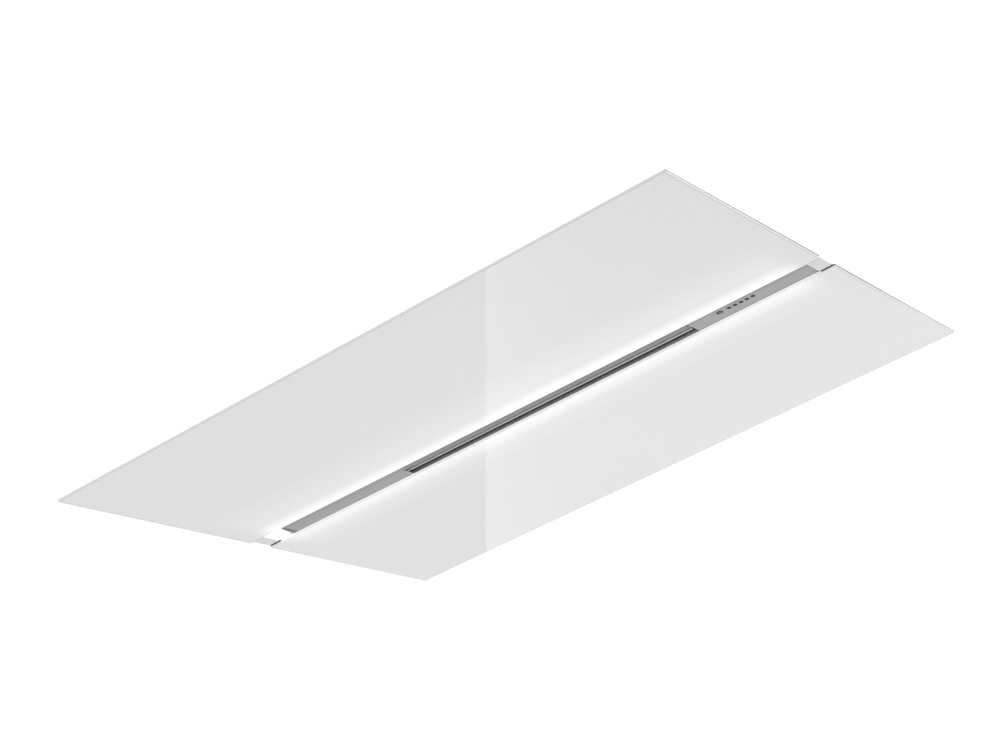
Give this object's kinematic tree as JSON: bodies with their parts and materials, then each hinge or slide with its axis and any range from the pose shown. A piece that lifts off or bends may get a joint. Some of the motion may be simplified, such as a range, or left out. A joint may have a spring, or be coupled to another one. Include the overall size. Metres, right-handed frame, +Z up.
{
  "type": "ceiling range hood",
  "caption": "Flat ceiling-recessed range hood: two hinged white glass panels beside a lit slot with a steel strip and buttons, over grease filters and a radial fan with a side duct collar.",
  "frame": {"origin": "centre of the visible underside: the middle of the slot, at the lower face of the closed glass panels", "axes": "+X along the slot towards the buttons' end, +Y towards the back panel, +Z up into the ceiling"},
  "size_m": [1, 0.8, 0.3],
  "materials": {
    "glass_white": "white back-painted safety glass, polished, ground edges",
    "pan_paint": "white powder coat, satin",
    "galvanised": "galvanised sheet steel, fine spangle",
    "stainless_strip": "stainless steel, fine grain along the slot",
    "button_steel": "spun stainless steel caps",
    "cap_plastic": "light grey moulded plastic, satin",
    "aluminium": "anodised, satin",
    "filter_mesh": "layered expanded aluminium mesh",
    "fan_plastic": "dark glass-filled plastic",
    "flap_plastic": "dark grey moulded plastic",
    "box_plastic": "off-white moulded plastic, fine texture",
    "gland_plastic": "mid grey polyamide",
    "circuit_board": "green solder mask",
    "opal_lit": "opal diffuser, lit neutral white",
    "motor_paint": "black enamel, satin",
    "bright_steel": "ground steel",
    "zinc_screw": "bright zinc plated",
    "rubber": "black closed-cell rubber, matt",
    "magnet": "ferrite in a nickel cup"
  },
  "bodies": {
    "housing": {"hinge_brackets": "pan_paint", "recess_tray": "galvanised", "filter_deck": "galvanised", "centre_rail": "galvanised", "motor_box": "galvanised", "motor_box_lid": "galvanised", "hanger_brackets": "galvanised", "volute_housing": "galvanised", "blower_plate": "galvanised", "duct_collar": "galvanised", "filter_supports": "galvanised", "catch_brackets": "galvanised", "strip_plate": "stainless_strip", "end_caps": "cap_plastic", "filter_frame_back": "aluminium", "filter_frame_front": "aluminium", "inlet_ring": "aluminium", "filter_mesh_back": "filter_mesh", "filter_mesh_front": "filter_mesh", "electronics_box": "box_plastic", "electronics_lid": "box_plastic", "led_driver": "box_plastic", "cable_gland": "gland_plastic", "terminal_block": "gland_plastic", "control_board": "circuit_board", "button_board": "circuit_board", "end_led_board": "circuit_board", "end_diffuser": "opal_lit", "motor_can": "motor_paint", "motor_bearings": "bright_steel", "hinge_pins": "bright_steel", "flap_pin": "bright_steel", "housing_screws": "zinc_screw", "motor_mounts": "rubber", "flange_gasket": "rubber", "catch_magnets": "magnet"},
    "back_panel": {"glass_back": "glass_white", "panel_pan_back": "pan_paint", "hinge_leaves_back": "pan_paint", "led_profile_back": "aluminium", "led_strip_back": "circuit_board", "led_diffuser_back": "opal_lit"},
    "front_panel": {"glass_front": "glass_white", "panel_pan_front": "pan_paint", "hinge_leaves_front": "pan_paint", "led_profile_front": "aluminium", "led_strip_front": "circuit_board", "led_diffuser_front": "opal_lit"},
    "fan": {"impeller": "fan_plastic", "motor_shaft": "bright_steel"},
    "back_flap": {"flap_back": "flap_plastic"},
    "front_flap": {"flap_front": "flap_plastic"},
    "back_latch": {"filter_latch_back": "flap_plastic"},
    "front_latch": {"filter_latch_front": "flap_plastic"},
    "power_key": {"power_button": "button_steel"},
    "key_1": {"button_1": "button_steel"},
    "key_2": {"button_2": "button_steel"},
    "key_3": {"button_3": "button_steel"},
    "key_4": {"button_4": "button_steel"},
    "key_5": {"button_5": "button_steel"}
  },
  "joints": [
    {"name": "back_panel_hinge", "type": "hinge", "parent": "housing", "child": "back_panel", "pos_m": [0, 0.3972, 0.0066], "axis": [1, 0, 0], "range_deg": [0, 90]},
    {"name": "front_panel_hinge", "type": "hinge", "parent": "housing", "child": "front_panel", "pos_m": [0, -0.3972, 0.0066], "axis": [-1, 0, 0], "range_deg": [0, 90]},
    {"name": "fan_spin", "type": "hinge", "parent": "housing", "child": "fan", "pos_m": [-0.03, -0.062, 0.206], "axis": [0, 0, 1], "continuous": true},
    {"name": "back_flap_hinge", "type": "hinge", "parent": "housing", "child": "back_flap", "pos_m": [0.216, 0.06, 0.206], "axis": [0, 0, 1], "range_deg": [-80, 0], "stiffness_Nm_per_rad": 0.01},
    {"name": "front_flap_hinge", "type": "hinge", "parent": "housing", "child": "front_flap", "pos_m": [0.216, 0.06, 0.206], "axis": [0, 0, 1], "range_deg": [0, 80], "stiffness_Nm_per_rad": 0.01},
    {"name": "back_latch_slide", "type": "slide", "parent": "housing", "child": "back_latch", "axis": [0, 1, 0], "range_m": [0, 0.007], "stiffness_N_per_m": 300},
    {"name": "front_latch_slide", "type": "slide", "parent": "housing", "child": "front_latch", "axis": [0, -1, 0], "range_m": [0, 0.007], "stiffness_N_per_m": 300},
    {"name": "power_press", "type": "slide", "parent": "housing", "child": "power_key", "axis": [0, 0, 1], "range_m": [0, 0.0006], "stiffness_N_per_m": 1500},
    {"name": "key_1_press", "type": "slide", "parent": "housing", "child": "key_1", "axis": [0, 0, 1], "range_m": [0, 0.0006], "stiffness_N_per_m": 1500},
    {"name": "key_2_press", "type": "slide", "parent": "housing", "child": "key_2", "axis": [0, 0, 1], "range_m": [0, 0.0006], "stiffness_N_per_m": 1500},
    {"name": "key_3_press", "type": "slide", "parent": "housing", "child": "key_3", "axis": [0, 0, 1], "range_m": [0, 0.0006], "stiffness_N_per_m": 1500},
    {"name": "key_4_press", "type": "slide", "parent": "housing", "child": "key_4", "axis": [0, 0, 1], "range_m": [0, 0.0006], "stiffness_N_per_m": 1500},
    {"name": "key_5_press", "type": "slide", "parent": "housing", "child": "key_5", "axis": [0, 0, 1], "range_m": [0, 0.0006], "stiffness_N_per_m": 1500}
  ]
}
